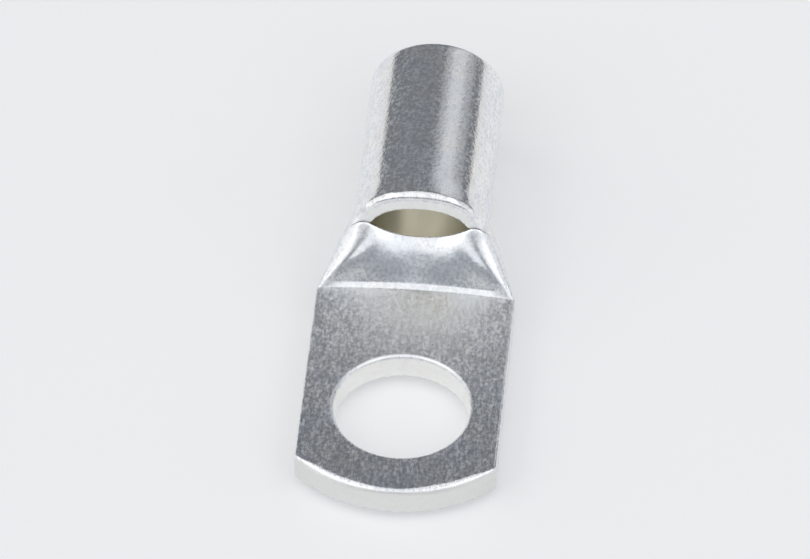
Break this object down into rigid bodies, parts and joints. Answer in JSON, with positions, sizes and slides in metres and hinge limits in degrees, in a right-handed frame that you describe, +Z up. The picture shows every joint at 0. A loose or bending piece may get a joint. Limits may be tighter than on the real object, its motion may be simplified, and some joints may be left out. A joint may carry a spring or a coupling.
{
  "type": "cable lug",
  "caption": "Tinned copper tube lug: a round barrel for a stranded conductor, an open sight hole at the neck, and a flat palm with one stud hole and an arched front edge.",
  "frame": {"origin": "centre of the stud hole on the palm's underside, the face that is bolted down", "axes": "+Z up through the stud hole, off the palm; +X from the stud hole to the barrel's mouth; +Y across the palm"},
  "size_m": [0.033, 0.0124, 0.0085],
  "materials": {
    "tinned_copper": "bright tin plating over copper, drawn and pressed"
  },
  "bodies": {
    "root": {"cable_lug": "tinned_copper"}
  },
  "joints": []
}
